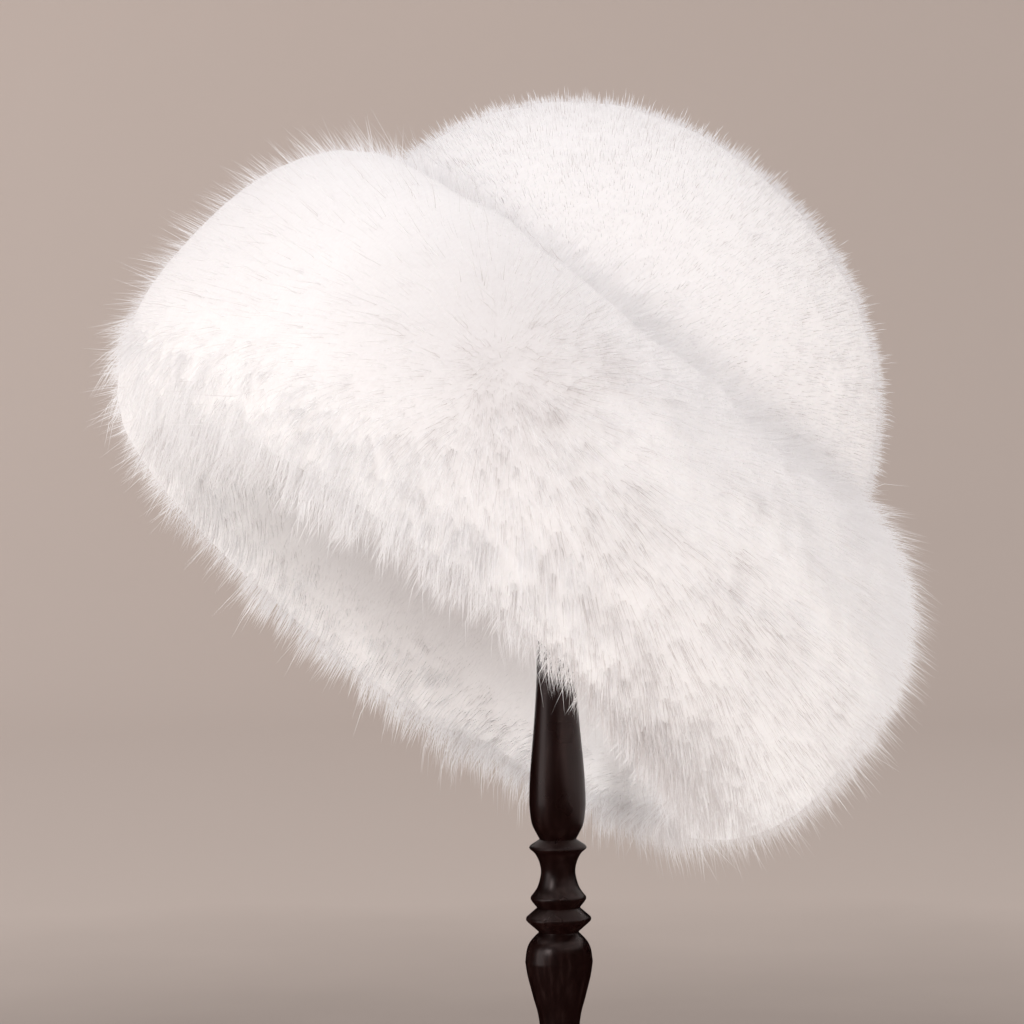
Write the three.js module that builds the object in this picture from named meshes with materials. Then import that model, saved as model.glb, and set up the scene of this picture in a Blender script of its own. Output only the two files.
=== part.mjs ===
// A white fur hat with a deep fur brim, hung on a turned wooden hat stand.
// Millimetres, Z up. The origin is in the middle of the foot's underside. The hat's lowered side faces +X.
import * as THREE from 'three';

const { degToRad, lerp } = THREE.MathUtils;

// Where the hat hangs: the middle of its crown, and how far its axis leans down to the side and back
const CROWN_MIDDLE = new THREE.Vector3(10, 4, 317.5);
const LEAN_SIDE = degToRad(38.6);
const LEAN_BACK = degToRad(15);

// The crown is an oval dome of short, dense fur on its pelt. Fullness 2 is an ellipse, and more is squarer.
const CROWN_REACH = { long: 106, wide: 102, tall: 101.5 };
const CROWN_FULLNESS = 2.08;
const CROWN_WALL = 14.5;
const CROWN_EDGE = -16; // height of the sewn lower edge

// Under the hat's weight the stand's dome pushes the top of the crown out a little
const PUSH_DEPTH = 2.5;
const PUSH_SPREAD = 0.6; // radians round the place that points straight up

// The brim's outer form on four sides. top: where its fur meets the crown. reach, at: its widest
// radius and the height of that. hem, low: the radius and height of its lower edge.
const BRIM_SIDES = [
  { side: 'lowered', turn: 0, top: 25, reach: 154, at: -54, hem: 117, low: -102 },
  { side: 'far', turn: 90, top: 28, reach: 146, at: -55, hem: 113, low: -107 },
  { side: 'raised', turn: 180, top: 26, reach: 148, at: -55, hem: 114, low: -107 },
  { side: 'near', turn: 270, top: 4, reach: 146, at: -55, hem: 113, low: -106 },
];
const THROAT_FLARE = 10; // how far the brim's inner wall opens below the crown's edge
const THROAT_RISE = 24; // height of the inner wall's foot above the hem

// The turned stand. ball is the radius of the dome's round top, and edge that of its turned edges. The foot
// has a half-round edge of radius round, a step above it, and a hollowed top that rises to a flat seat.
const DOME = { ball: 64, radius: 56, thickness: 38, edge: 5 };
const FOOT = { radius: 85, thickness: 24, round: 7, step: 1.5, stepRadius: 76, seatRadius: 22, hollow: 4 };
const TOP_TENON = { radius: 5, length: 20 };
const FOOT_TENON = { radius: 8, length: 14 };
const TENON_PLAY = 0.3;
const SPINDLE_ROOT = 17; // radius where the spindle stands on the foot
const SPINDLE_NECK = 6.5; // radius of its plain upper end inside the hat

// Clearances between pieces that touch, and how finely the round shapes are cut
const GAP = 0.3;
const SEAT_GAP = 0.65;
const HAT_STEPS = 60;
const WIDE = { outlineSteps: 3, steps: 40 };
const SLIM = { outlineSteps: 2, steps: 20 };

const FUR = { color: 0xf3eded, roughness: 0.95, metalness: 0 };
const STAINED_WOOD = { color: 0x2a1f1c, roughness: 0.42, metalness: 0 };

// A closed body from rows of points, each row once round the hat, ordered down the outside and up the
// inside. A row of one point is a pole. Without poles the last row joins the first.
function bodyFromRows(rows) {
  const places = rows.flat();
  const starts = [];
  let count = 0;
  for (const row of rows) {
    starts.push(count);
    count += row.length;
  }
  const index = [];
  const pairs = rows[0].length === 1 ? rows.length - 1 : rows.length;
  for (let i = 0; i < pairs; i += 1) {
    const next = (i + 1) % rows.length;
    const steps = Math.max(rows[i].length, rows[next].length);
    const upper = (j) => starts[i] + (j % rows[i].length);
    const lower = (j) => starts[next] + (j % rows[next].length);
    for (let j = 0; j < steps; j += 1) {
      if (rows[next].length > 1) index.push(upper(j), lower(j), lower(j + 1));
      if (rows[i].length > 1) index.push(upper(j), lower(j + 1), upper(j + 1));
    }
  }
  const geometry = new THREE.BufferGeometry().setFromPoints(places);
  geometry.setIndex(index);
  geometry.computeVertexNormals();
  return geometry;
}

// One row of points round the hat, each from its turn about the axis in radians
function rowRound(pointAt) {
  return Array.from({ length: HAT_STEPS }, (_, j) => pointAt((j / HAT_STEPS) * 2 * Math.PI));
}

// The hat's own frame, and the direction that points straight up in it
const hatTurn = new THREE.Euler(-LEAN_BACK, LEAN_SIDE, 0, 'YXZ');
const hatFromWorld = new THREE.Quaternion().setFromEuler(hatTurn).invert();
const upInHat = new THREE.Vector3(0, 0, 1).applyQuaternion(hatFromWorld);

// A point of the crown's outer form, or of a copy of it that lies inset inside. climb goes from 0 at the
// crown's widest line to a quarter turn at its top, and a negative one is a height below that line.
function crownPoint(turn, climb, inset) {
  const long = CROWN_REACH.long - inset;
  const wide = CROWN_REACH.wide - inset;
  const round = Math.max(climb, 0);
  const oval = 1 / Math.hypot(Math.cos(turn) / long, Math.sin(turn) / wide);
  const radius = oval * Math.cos(round) ** (2 / CROWN_FULLNESS);
  const height = (CROWN_REACH.tall - inset) * Math.sin(round) ** (2 / CROWN_FULLNESS);
  const point = new THREE.Vector3(radius * Math.cos(turn), radius * Math.sin(turn), height);
  const pushed = PUSH_DEPTH * Math.exp(-((point.angleTo(upInHat) / PUSH_SPREAD) ** 2));
  point.addScaledVector(point.clone().normalize(), pushed);
  point.z += Math.min(climb, 0);
  return point;
}

// The climb at which the crown's outer form reaches a height
function climbAt(height) {
  return Math.asin(Math.max(height / CROWN_REACH.tall, 0) ** (CROWN_FULLNESS / 2));
}

// The crown's skin from top to edge, without the pole
const CROWN_CLIMBS = [78, 66, 55, 44, 33, 22, 11, 0].map(degToRad);

function crownSkin(inset) {
  const rows = CROWN_CLIMBS.map((climb) => rowRound((turn) => crownPoint(turn, climb, inset)));
  rows.push(rowRound((turn) => crownPoint(turn, CROWN_EDGE, inset)));
  return rows;
}

const crownInside = crownSkin(CROWN_WALL);

function crownBody() {
  const top = [crownPoint(0, Math.PI / 2, 0)];
  const insideTop = [crownPoint(0, Math.PI / 2, CROWN_WALL)];
  return bodyFromRows([top, ...crownSkin(0), ...[...crownInside].reverse(), insideTop]);
}

// The brim's measures at any turn, eased from each side in the table to the next
function brimAt(turn) {
  const place = (turn / (2 * Math.PI)) * BRIM_SIDES.length;
  const from = BRIM_SIDES[Math.floor(place) % BRIM_SIDES.length];
  const to = BRIM_SIDES[(Math.floor(place) + 1) % BRIM_SIDES.length];
  const ease = THREE.MathUtils.smoothstep(place % 1, 0, 1);
  const measures = Object.keys(from).filter((name) => name !== 'side' && name !== 'turn');
  return Object.fromEntries(measures.map((name) => [name, lerp(from[name], to[name], ease)]));
}

function pointFrom(turn, radius, height) {
  return new THREE.Vector3(radius * Math.cos(turn), radius * Math.sin(turn), height);
}

function radiusOf(point) {
  return Math.hypot(point.x, point.y);
}

// The radius of the brim's inner wall at its foot
function throatAt(turn) {
  return radiusOf(crownPoint(turn, CROWN_EDGE, CROWN_WALL)) + THROAT_FLARE;
}

// A quarter turn in equal steps, as angles, with both ends
function quarterTurn(steps) {
  return Array.from({ length: steps + 1 }, (_, i) => (i / steps) * (Math.PI / 2));
}

// The brim's rows, from its crest against the crown down the full outer side, round the hem, up the inner
// wall, and back up the outside of the crown, which it clears by GAP
function brimBody() {
  const upperSide = quarterTurn(8).slice(1).map((angle) => rowRound((turn) => {
    const { top, reach, at } = brimAt(turn);
    const crest = radiusOf(crownPoint(turn, climbAt(top), -GAP));
    return pointFrom(turn, lerp(crest, reach, Math.sin(angle)), lerp(at, top, Math.cos(angle)));
  }));
  const lowerSide = quarterTurn(5).slice(1).map((angle) => rowRound((turn) => {
    const { reach, at, hem, low } = brimAt(turn);
    return pointFrom(turn, lerp(hem, reach, Math.cos(angle)), lerp(at, low, Math.sin(angle)));
  }));
  const hemInside = quarterTurn(4).slice(1).map((angle) => rowRound((turn) => {
    const { hem, low } = brimAt(turn);
    const rise = THROAT_RISE * (1 - Math.cos(angle));
    return pointFrom(turn, lerp(hem, throatAt(turn), Math.sin(angle)), low + rise);
  }));
  const ledge = [CROWN_WALL, -GAP].map((inset) => rowRound((turn) => {
    return crownPoint(turn, CROWN_EDGE - GAP, inset);
  }));
  const crownSide = [0, 0.2, 0.4, 0.6, 0.8, 1].map((share) => rowRound((turn) => {
    return crownPoint(turn, share * climbAt(brimAt(turn).top), -GAP);
  }));
  return bodyFromRows([...upperSide, ...lowerSide, ...hemInside, ...ledge, ...crownSide]);
}

// The stand's pieces are turned about Z from an outline that starts and ends on the axis
function turned(name, outline, { outlineSteps, steps }) {
  const geometry = new THREE.LatheGeometry(outline.getPoints(outlineSteps), steps);
  geometry.rotateX(Math.PI / 2);
  const piece = new THREE.Mesh(geometry, new THREE.MeshStandardMaterial(STAINED_WOOD));
  piece.name = name;
  return piece;
}

// The height at which the dome's round top lies SEAT_GAP under the inside of the crown
function domeSeat() {
  const inside = crownInside.flat().map((point) => point.clone().applyEuler(hatTurn).add(CROWN_MIDDLE));
  let low = CROWN_MIDDLE.z;
  let high = CROWN_MIDDLE.z + CROWN_REACH.tall;
  while (high - low > 0.01) {
    const ball = new THREE.Vector3(0, 0, (low + high) / 2);
    const nearest = Math.min(...inside.map((point) => point.distanceTo(ball)));
    if (nearest > DOME.ball + SEAT_GAP) low = ball.z;
    else high = ball.z;
  }
  return low + DOME.ball;
}

const domeTop = domeSeat();
const domeUnder = domeTop - DOME.thickness;

// The dome: a blind socket for the tenon, a flat underside, turned edges and the round top
function domeOutline() {
  const ballHeight = domeTop - DOME.ball;
  const edgeCentre = DOME.radius - DOME.edge;
  const roll = Math.asin(edgeCentre / (DOME.ball - DOME.edge)); // where the top rolls into the edge
  const rollHeight = ballHeight + Math.cos(roll) * (DOME.ball - DOME.edge);
  const socketTop = domeUnder + TOP_TENON.length + TENON_PLAY;
  const outline = new THREE.Path();
  outline.moveTo(0, socketTop);
  outline.lineTo(TOP_TENON.radius + TENON_PLAY, socketTop);
  outline.lineTo(TOP_TENON.radius + TENON_PLAY, domeUnder);
  outline.lineTo(edgeCentre, domeUnder);
  outline.absarc(edgeCentre, domeUnder + DOME.edge, DOME.edge, -Math.PI / 2, 0, false);
  outline.lineTo(DOME.radius, rollHeight);
  outline.absarc(edgeCentre, rollHeight, DOME.edge, 0, Math.PI / 2 - roll, false);
  outline.absarc(0, ballHeight, DOME.ball, Math.PI / 2 - roll, Math.PI / 2, false);
  return outline;
}

// The spindle above its root, in turned members. Each runs on from the last through its points, and a
// member of more than one point is a smooth curve. A point is a height and a radius.
const SPINDLE_MEMBERS = [
  { member: 'trumpet', through: [[34, 11.6], [48, 7.4], [66, 6]] },
  { member: 'lower bead', through: [[68, 8.6], [71, 9.6], [74, 8.6], [76, 6.2]] },
  { member: 'vase, lower side', through: [[82, 5.9], [100, 7.5], [112.6, 10.5], [121.4, 11.9]] },
  { member: 'vase, shoulder', through: [[125.2, 11.4], [128.8, 9.9], [131.5, 7.4]] },
  { member: 'ring, lower side', through: [[135.6, 11]] },
  { member: 'ring, rim', through: [[136.7, 11.5], [137.8, 10.9]] },
  { member: 'ring, upper side', through: [[141, 7.8]] },
  { member: 'fillet', through: [[143.4, 9.6]] },
  { member: 'cove', through: [[144.3, 9.7], [147.6, 7.4], [152.8, 6.2], [158, 7.4], [161.1, 9.9]] },
  { member: 'collar', through: [[162, 10.1], [162.6, 9.6]] },
  { member: 'collar, upper side', through: [[165, 6.6]] },
  { member: 'bulb', through: [[168.4, 8.6], [173, 9.5], [178.5, 9.65], [188, 9.2], [205, 7.9], [218, 7.1]] },
  { member: 'neck', through: [[240, SPINDLE_NECK]] },
];

function spindleOutline() {
  const root = FOOT.thickness + GAP;
  const shoulder = domeUnder - GAP;
  const outline = new THREE.Path();
  outline.moveTo(0, FOOT.thickness - FOOT_TENON.length);
  outline.lineTo(FOOT_TENON.radius, FOOT.thickness - FOOT_TENON.length);
  outline.lineTo(FOOT_TENON.radius, root);
  outline.lineTo(SPINDLE_ROOT, root);
  for (const { through } of SPINDLE_MEMBERS) {
    const points = through.map(([height, radius]) => new THREE.Vector2(radius, height));
    if (points.length === 1) outline.lineTo(points[0].x, points[0].y);
    else outline.splineThru(points);
  }
  outline.lineTo(SPINDLE_NECK, shoulder);
  outline.lineTo(TOP_TENON.radius, shoulder);
  outline.lineTo(TOP_TENON.radius, domeUnder + TOP_TENON.length);
  outline.lineTo(0, domeUnder + TOP_TENON.length);
  return outline;
}

function footOutline() {
  const socket = FOOT_TENON.radius + TENON_PLAY;
  const socketFloor = FOOT.thickness - FOOT_TENON.length - TENON_PLAY;
  const stepTop = 2 * FOOT.round + FOOT.step;
  const outline = new THREE.Path();
  outline.moveTo(0, 0);
  outline.lineTo(FOOT.radius - FOOT.round, 0);
  outline.absarc(FOOT.radius - FOOT.round, FOOT.round, FOOT.round, -Math.PI / 2, Math.PI / 2, false);
  outline.lineTo(FOOT.stepRadius, 2 * FOOT.round);
  outline.lineTo(FOOT.stepRadius, stepTop);
  const hollowRadius = (FOOT.stepRadius + FOOT.seatRadius) / 2;
  outline.quadraticCurveTo(hollowRadius, FOOT.thickness - FOOT.hollow, FOOT.seatRadius, FOOT.thickness);
  outline.lineTo(socket, FOOT.thickness);
  outline.lineTo(socket, socketFloor);
  outline.lineTo(0, socketFloor);
  return outline;
}

function furPiece(name, geometry) {
  const piece = new THREE.Mesh(geometry, new THREE.MeshStandardMaterial(FUR));
  piece.name = name;
  return piece;
}

const hat = new THREE.Group();
hat.position.copy(CROWN_MIDDLE);
hat.rotation.copy(hatTurn);
hat.add(furPiece('crown', crownBody()), furPiece('brim', brimBody()));

const stand = new THREE.Group();
stand.add(turned('stand_dome', domeOutline(), WIDE));
stand.add(turned('stand_spindle', spindleOutline(), SLIM));
stand.add(turned('stand_base', footOutline(), WIDE));

const hatOnStand = new THREE.Group();
hatOnStand.add(hat, stand);

export default hatOnStand;
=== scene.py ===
# %% [markdown]
# A white fur hat on a turned wooden hat stand. The hat has a round crown of short, dense fur and a deep brim
# of long, soft fur that is furred on both faces. It hangs tilted on a stand whose dark post shows below it.
# The model is built in metres round a fixed frame of five solids: crown, brim, stand_dome, stand_spindle and
# stand_base. Each solid is replaced here by finer pieces that keep to its place and size.

# %% Load the frame
import math

import bpy
import numpy as np
from mathutils import Matrix, Quaternion, Vector
from mathutils.bvhtree import BVHTree
from mathutils.kdtree import KDTree


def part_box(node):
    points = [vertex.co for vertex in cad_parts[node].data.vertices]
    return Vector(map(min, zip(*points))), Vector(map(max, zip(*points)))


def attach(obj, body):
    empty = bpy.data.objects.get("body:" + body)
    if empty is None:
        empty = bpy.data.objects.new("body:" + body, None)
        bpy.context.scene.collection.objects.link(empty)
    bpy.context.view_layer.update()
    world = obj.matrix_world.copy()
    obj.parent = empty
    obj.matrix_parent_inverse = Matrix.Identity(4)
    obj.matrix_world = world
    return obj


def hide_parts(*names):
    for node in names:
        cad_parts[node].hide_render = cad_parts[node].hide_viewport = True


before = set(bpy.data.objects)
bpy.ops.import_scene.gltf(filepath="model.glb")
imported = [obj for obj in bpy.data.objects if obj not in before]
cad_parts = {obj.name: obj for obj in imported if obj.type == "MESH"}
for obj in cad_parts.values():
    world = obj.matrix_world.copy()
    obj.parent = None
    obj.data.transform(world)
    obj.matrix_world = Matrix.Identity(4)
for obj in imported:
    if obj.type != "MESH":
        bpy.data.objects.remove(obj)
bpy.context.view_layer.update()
print("solids:", sorted(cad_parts))

# %% [markdown]
# The work is done with Blender's operators, which act on what is selected, and the loaded solids come in
# selected. So everything is deselected before a primitive is added. A finished piece has its place in its
# mesh, and its object sits at the origin, unturned and unscaled.

# %% Helpers for working with operators


def add_primitive(operator, name, **options):
    """Adds one primitive on its own, in edit mode with everything selected, and returns its object."""
    bpy.ops.object.select_all(action="DESELECT")
    operator(**options)
    piece = bpy.context.active_object
    piece.name = piece.data.name = name
    bpy.ops.object.mode_set(mode="EDIT")
    bpy.ops.mesh.select_mode(type="VERT")
    return piece


def leave_edit():
    """Merges what lies together, turns the faces outwards, and puts the piece's place into its mesh."""
    bpy.ops.mesh.select_all(action="SELECT")
    bpy.ops.mesh.remove_doubles(threshold=0.00001)
    bpy.ops.mesh.normals_make_consistent(inside=False)
    bpy.ops.object.mode_set(mode="OBJECT")
    bpy.ops.object.transform_apply(location=True, rotation=True, scale=True)


def modify(piece, kind, **settings):
    """Gives the active piece a modifier with these settings and applies it."""
    modifier = piece.modifiers.new(kind.title(), kind)
    for setting, value in settings.items():
        setattr(modifier, setting, value)
    bpy.ops.object.modifier_apply(modifier=modifier.name)


def dress(piece, material, slot, *nodes):
    """Gives a finished piece its material, its body and the solids that it stands for; its slot is not used."""
    piece.data.materials.clear()
    piece.data.materials.append(material)
    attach(piece, "root")
    if nodes:
        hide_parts(*nodes)
    triangles = sum(len(face.vertices) - 2 for face in piece.data.polygons)
    print(piece.name, "has", triangles, "triangles")


# %% [markdown]
# The camera stands a little above the hat's middle and looks from 1.5 metres through a long lens, as a
# product photographer does to keep the shape free of perspective. It is rolled by about half a degree,
# because the post in the picture leans by that much.

# %% Camera
VIEW_TARGET = Vector((-0.0149, 0, 0.2792))
VIEW_DISTANCE = 1.5
VIEW_RISE = math.radians(3)
VIEW_ROLL = math.radians(0.6)
VIEW_WIDTH = 0.3584  # what the frame takes in at the target

camera_data = bpy.data.cameras.new("camera")
camera_data.lens = camera_data.sensor_width * VIEW_DISTANCE / VIEW_WIDTH
camera = bpy.data.objects.new("camera", camera_data)
bpy.context.scene.collection.objects.link(camera)
bpy.context.scene.camera = camera
towards_eye = Vector((0, -math.cos(VIEW_RISE), math.sin(VIEW_RISE)))
camera.location = VIEW_TARGET + VIEW_DISTANCE * towards_eye
looking = (-towards_eye).to_track_quat("-Z", "Y") @ Quaternion((0, 0, 1), -VIEW_ROLL)
camera.rotation_euler = looking.to_euler()
print("lens:", round(camera_data.lens, 1), "mm")

# %% [markdown]
# A material here is a Principled shader fed by a few nodes. The patterns follow the object's own coordinates
# or an attribute of the mesh, so that they stay on the surface in every view.

# %% Helpers for materials


def new_material(name, roughness):
    """A material, with its nodes, its links and its Principled shader for more."""
    material = bpy.data.materials.new(name)
    material.use_nodes = True
    nodes = material.node_tree.nodes
    shader = nodes["Principled BSDF"]
    shader.inputs["Roughness"].default_value = roughness
    return material, nodes, material.node_tree.links, shader


def add_noise(nodes, links, scale, detail=4, stretch=(1, 1, 1), turn=(0, 0, 0)):
    """A noise on the object's own coordinates, turned and stretched, as its factor from 0 to 1."""
    place = nodes.new("ShaderNodeTexCoord")
    mapping = nodes.new("ShaderNodeMapping")
    mapping.inputs["Scale"].default_value = stretch
    mapping.inputs["Rotation"].default_value = turn
    noise = nodes.new("ShaderNodeTexNoise")
    noise.inputs["Scale"].default_value = scale
    noise.inputs["Detail"].default_value = detail
    links.new(place.outputs["Object"], mapping.inputs["Vector"])
    links.new(mapping.outputs["Vector"], noise.inputs["Vector"])
    return noise.outputs["Fac"]


def add_ramp(nodes, links, factor, stops):
    """The colour at a factor, from a list of places from 0 to 1 and their colours."""
    ramp = nodes.new("ShaderNodeValToRGB")
    while len(ramp.color_ramp.elements) < len(stops):
        ramp.color_ramp.elements.new(0.5)
    for element, (place, color) in zip(ramp.color_ramp.elements, stops):
        element.position = place
        element.color = (*color, 1)
    links.new(factor, ramp.inputs["Fac"])
    return ramp.outputs["Color"]


def add_bump(nodes, links, shader, height, strength, distance):
    """Roughens the shader's surface by a height."""
    bump = nodes.new("ShaderNodeBump")
    bump.inputs["Strength"].default_value = strength
    bump.inputs["Distance"].default_value = distance
    links.new(height, bump.inputs["Height"])
    links.new(bump.outputs["Normal"], shader.inputs["Normal"])


# %% [markdown]
# Everything turned on a lathe, and the round backdrop too, is a profile spun about the upright axis. A
# profile is a list of points, each a radius and a height. A vertex is placed at its first point and extruded
# from point to point, and the line is then spun once round. Curves in a profile are made of short steps.

# %% Helpers for turned shapes


def arc(middle, radius, start, end, steps):
    """Points on an arc about a middle, from one angle to another in degrees."""
    angles = np.radians(np.linspace(start, end, steps + 1))
    return [(middle[0] + radius * math.cos(a), middle[1] + radius * math.sin(a)) for a in angles]


def smooth_line(points, steps):
    """Points on a smooth curve through all the given points, with this many steps between two of them."""
    line = np.array([points[0], *points, points[-1]], float)
    curve = [tuple(line[1])]
    for before, first, second, after in zip(line, line[1:], line[2:], line[3:]):
        leave, arrive = (second - before) / 2, (after - first) / 2
        for t in np.linspace(0, 1, steps + 1)[1:]:
            curve.append(tuple((2 * t**3 - 3 * t**2 + 1) * first + (t**3 - 2 * t**2 + t) * leave
                               + (3 * t**2 - 2 * t**3) * second + (t**3 - t**2) * arrive))
    return curve


def turn_on_lathe(name, profile, steps):
    """Spins a profile of radii and heights about the upright axis, and leaves the piece in edit mode."""
    piece = add_primitive(bpy.ops.mesh.primitive_plane_add, name, size=0.001)
    bpy.ops.mesh.merge(type="CENTER")
    bpy.ops.transform.translate(value=(profile[0][0], 0, profile[0][1]))
    for (radius, height), (next_radius, next_height) in zip(profile, profile[1:]):
        move = (next_radius - radius, 0, next_height - height)
        bpy.ops.mesh.extrude_vertices_move(TRANSFORM_OT_translate={"value": move})
    bpy.ops.mesh.select_all(action="SELECT")
    bpy.ops.mesh.spin(steps=steps, angle=2 * math.pi, center=(0, 0, 0), axis=(0, 0, 1))
    bpy.ops.mesh.select_all(action="SELECT")
    bpy.ops.mesh.remove_doubles(threshold=0.00001)
    bpy.ops.mesh.normals_make_consistent(inside=False)
    return piece


# %% [markdown]
# Behind the hat is a seamless warm grey backdrop with a faint cloudiness, like painted canvas. It is one
# round bowl: a pale floor that curves up into a wall all the way round, so that the hat is seen against the
# same backdrop from every side. Its colour also carries painted shade and painted light: it is darker on the
# floor near the middle, lighter up the wall, and a little darker towards the right.

# %% Backdrop
FLOOR_RADIUS = 2.0
WALL_CURVE = 1.2
WALL_TOP = 1.3
BACKDROP_STEPS = 96


def backdrop_material():
    material, nodes, links, shader = new_material("painted canvas", 0.95)
    shader.inputs["Specular IOR Level"].default_value = 0.1
    place = nodes.new("ShaderNodeTexCoord")
    away = nodes.new("ShaderNodeVectorMath")
    away.operation = "LENGTH"
    links.new(place.outputs["Object"], away.inputs[0])
    cloud = nodes.new("ShaderNodeMath")
    cloud.operation = "MULTIPLY_ADD"
    links.new(add_noise(nodes, links, 3.5, detail=5), cloud.inputs[0])
    cloud.inputs[1].default_value = 0.25
    links.new(away.outputs["Value"], cloud.inputs[2])
    spread = nodes.new("ShaderNodeMath")
    spread.operation = "DIVIDE"
    links.new(cloud.outputs["Value"], spread.inputs[0])
    spread.inputs[1].default_value = FLOOR_RADIUS + WALL_CURVE + 0.3
    # Painted shade and painted light: darker on the floor near the middle, lighter up the wall.
    stops = [(0.20, (0.420, 0.366, 0.328)), (0.32, (0.635, 0.560, 0.502)), (0.76, (0.675, 0.597, 0.539)),
             (0.97, (0.735, 0.653, 0.591))]
    # Painted shade: the canvas is made a little darker towards the right.
    across = nodes.new("ShaderNodeSeparateXYZ")
    links.new(place.outputs["Object"], across.inputs["Vector"])
    painted_shade_to_right = nodes.new("ShaderNodeMath")
    painted_shade_to_right.operation = "MULTIPLY_ADD"
    links.new(across.outputs["X"], painted_shade_to_right.inputs[0])
    painted_shade_to_right.inputs[1].default_value = 0.5
    painted_shade_to_right.inputs[2].default_value = 0.5
    shade = add_ramp(nodes, links, painted_shade_to_right.outputs["Value"], [(0.25, (1.0, 1.0, 1.0)), (0.75, (0.89, 0.89, 0.89))])
    painted = nodes.new("ShaderNodeMix")
    painted.data_type = "RGBA"
    painted.blend_type = "MULTIPLY"
    painted.inputs["Factor"].default_value = 1.0
    links.new(add_ramp(nodes, links, spread.outputs["Value"], stops), painted.inputs["A"])
    links.new(shade, painted.inputs["B"])
    links.new(painted.outputs["Result"], shader.inputs["Base Color"])
    return material


wall = FLOOR_RADIUS + WALL_CURVE
bowl = [(0, 0), *arc((FLOOR_RADIUS, WALL_CURVE), WALL_CURVE, -90, 0, 24), (wall, WALL_TOP)]
backdrop = turn_on_lathe("backdrop", bowl, BACKDROP_STEPS)
bpy.ops.mesh.normals_make_consistent(inside=True)
bpy.ops.object.mode_set(mode="OBJECT")
bpy.ops.object.shade_smooth()
backdrop.data.materials.append(backdrop_material())
backdrop.visible_glossy = False
print("backdrop:", [round(side, 2) for side in backdrop.dimensions], "m")

# %% [markdown]
# The light in the picture is soft and nearly even, as in a white studio. Most of it comes from a pale room
# on all sides. A softbox at the front left makes the small highlight on the post's vase, and a wide one far
# to the left makes the sheen along its edge. A third at the right and a weak one behind keep the hat's right
# side white. White fur also takes much light from the pale table under it, so a reflector that faces up
# lights the hem and the hollow. Only the first two are seen in the wood's shine. No lamp shows in the picture.
# Light is scattered many times between white hairs, so more bounces than usual are allowed.

# %% Lights
LIGHT_TARGET = Vector((0, 0, 0.30))


def add_softbox(name, azimuth, rise, distance, size, power):
    """A square lamp that faces the hat. The azimuth is 0 in front and grows to the right."""
    data = bpy.data.lights.new(name, "AREA")
    data.shape = "SQUARE"
    data.size = size
    data.energy = power
    lamp = bpy.data.objects.new(name, data)
    bpy.context.scene.collection.objects.link(lamp)
    turn, lift = math.radians(azimuth), math.radians(rise)
    direction = Vector((math.sin(turn) * math.cos(lift), -math.cos(turn) * math.cos(lift), math.sin(lift)))
    lamp.location = LIGHT_TARGET + distance * direction
    lamp.rotation_euler = direction.to_track_quat("Z", "Y").to_euler()
    lamp.visible_camera = False
    return lamp


add_softbox("key", azimuth=-42, rise=21, distance=1.7, size=0.50, power=5.6)
add_softbox("side", azimuth=-70, rise=4, distance=1.7, size=1.0, power=4.3)
fill = add_softbox("fill", azimuth=54, rise=30, distance=1.7, size=1.0, power=6.7)
fill.visible_glossy = False
rim = add_softbox("rim", azimuth=118, rise=38, distance=1.7, size=1.0, power=1.5)
rim.visible_glossy = False
reflector = add_softbox("reflector", azimuth=0, rise=-90, distance=0.27, size=1.5, power=5.3)
reflector.location.xy = (-0.05, -0.50)
reflector.visible_glossy = False

world = bpy.data.worlds.new("pale room")
world.use_nodes = True
world.node_tree.nodes["Background"].inputs["Color"].default_value = (1.0, 0.945, 0.955, 1)
world.node_tree.nodes["Background"].inputs["Strength"].default_value = 0.745
scene = bpy.context.scene
scene.world = world
world.cycles_visibility.glossy = False
scene.view_settings.view_transform = "Standard"
scene.cycles.diffuse_bounces = 8
scene.cycles.transmission_bounces = 3
scene.cycles.max_bounces = 9

# %% [markdown]
# The stand is turned from hardwood, stained nearly black and waxed to a satin finish. The grain still shows
# as fine lines along the post, and the wax is thinner in places, so the shine varies a little.

# %% Stained wood


def wood_material():
    material, nodes, links, shader = new_material("stained wood", 0.36)
    shader.inputs["Specular IOR Level"].default_value = 0.44
    shader.inputs["Specular Tint"].default_value = (1.0, 0.84, 0.82, 1.0)
    grain = add_noise(nodes, links, 420, detail=6, stretch=(1, 1, 0.04))
    stain = [(0.30, (0.0060, 0.0016, 0.0012)), (0.55, (0.0100, 0.0032, 0.0026)), (0.75, (0.021, 0.0095, 0.0080))]
    links.new(add_ramp(nodes, links, grain, stain), shader.inputs["Base Color"])
    wax = add_noise(nodes, links, 55, detail=3)
    shine = [(0.35, (0.26, 0.26, 0.26)), (0.65, (0.34, 0.34, 0.34))]
    links.new(add_ramp(nodes, links, wax, shine), shader.inputs["Roughness"])
    add_bump(nodes, links, shader, grain, 0.25, 0.0004)
    return material


wood = wood_material()
print("wood:", wood.name, "with", len(wood.node_tree.nodes), "nodes")

# %% [markdown]
# The foot is a plain disc with a half-round edge, a small step, and a top that sweeps up to a flat seat for
# the post. The dome, which the crown hangs on, is a cap with a rolled edge. Both have a socket for a tenon of
# the post, so their profiles start and end inside it.

# %% Foot and dome
SOFTENED = 0.0003  # how far sanding has rounded the turned edges
FOOT = {"radius": 0.085, "thickness": 0.024, "round": 0.007, "step": 0.0015, "step_radius": 0.076,
        "seat_radius": 0.022, "hollow": 0.004}
DOME = {"ball": 0.064, "radius": 0.056, "edge": 0.005}
FOOT_TENON = {"radius": 0.008, "length": 0.014}
TOP_TENON = {"radius": 0.005, "length": 0.020}
TENON_PLAY = 0.0003
WIDE_STEPS = 128


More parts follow.
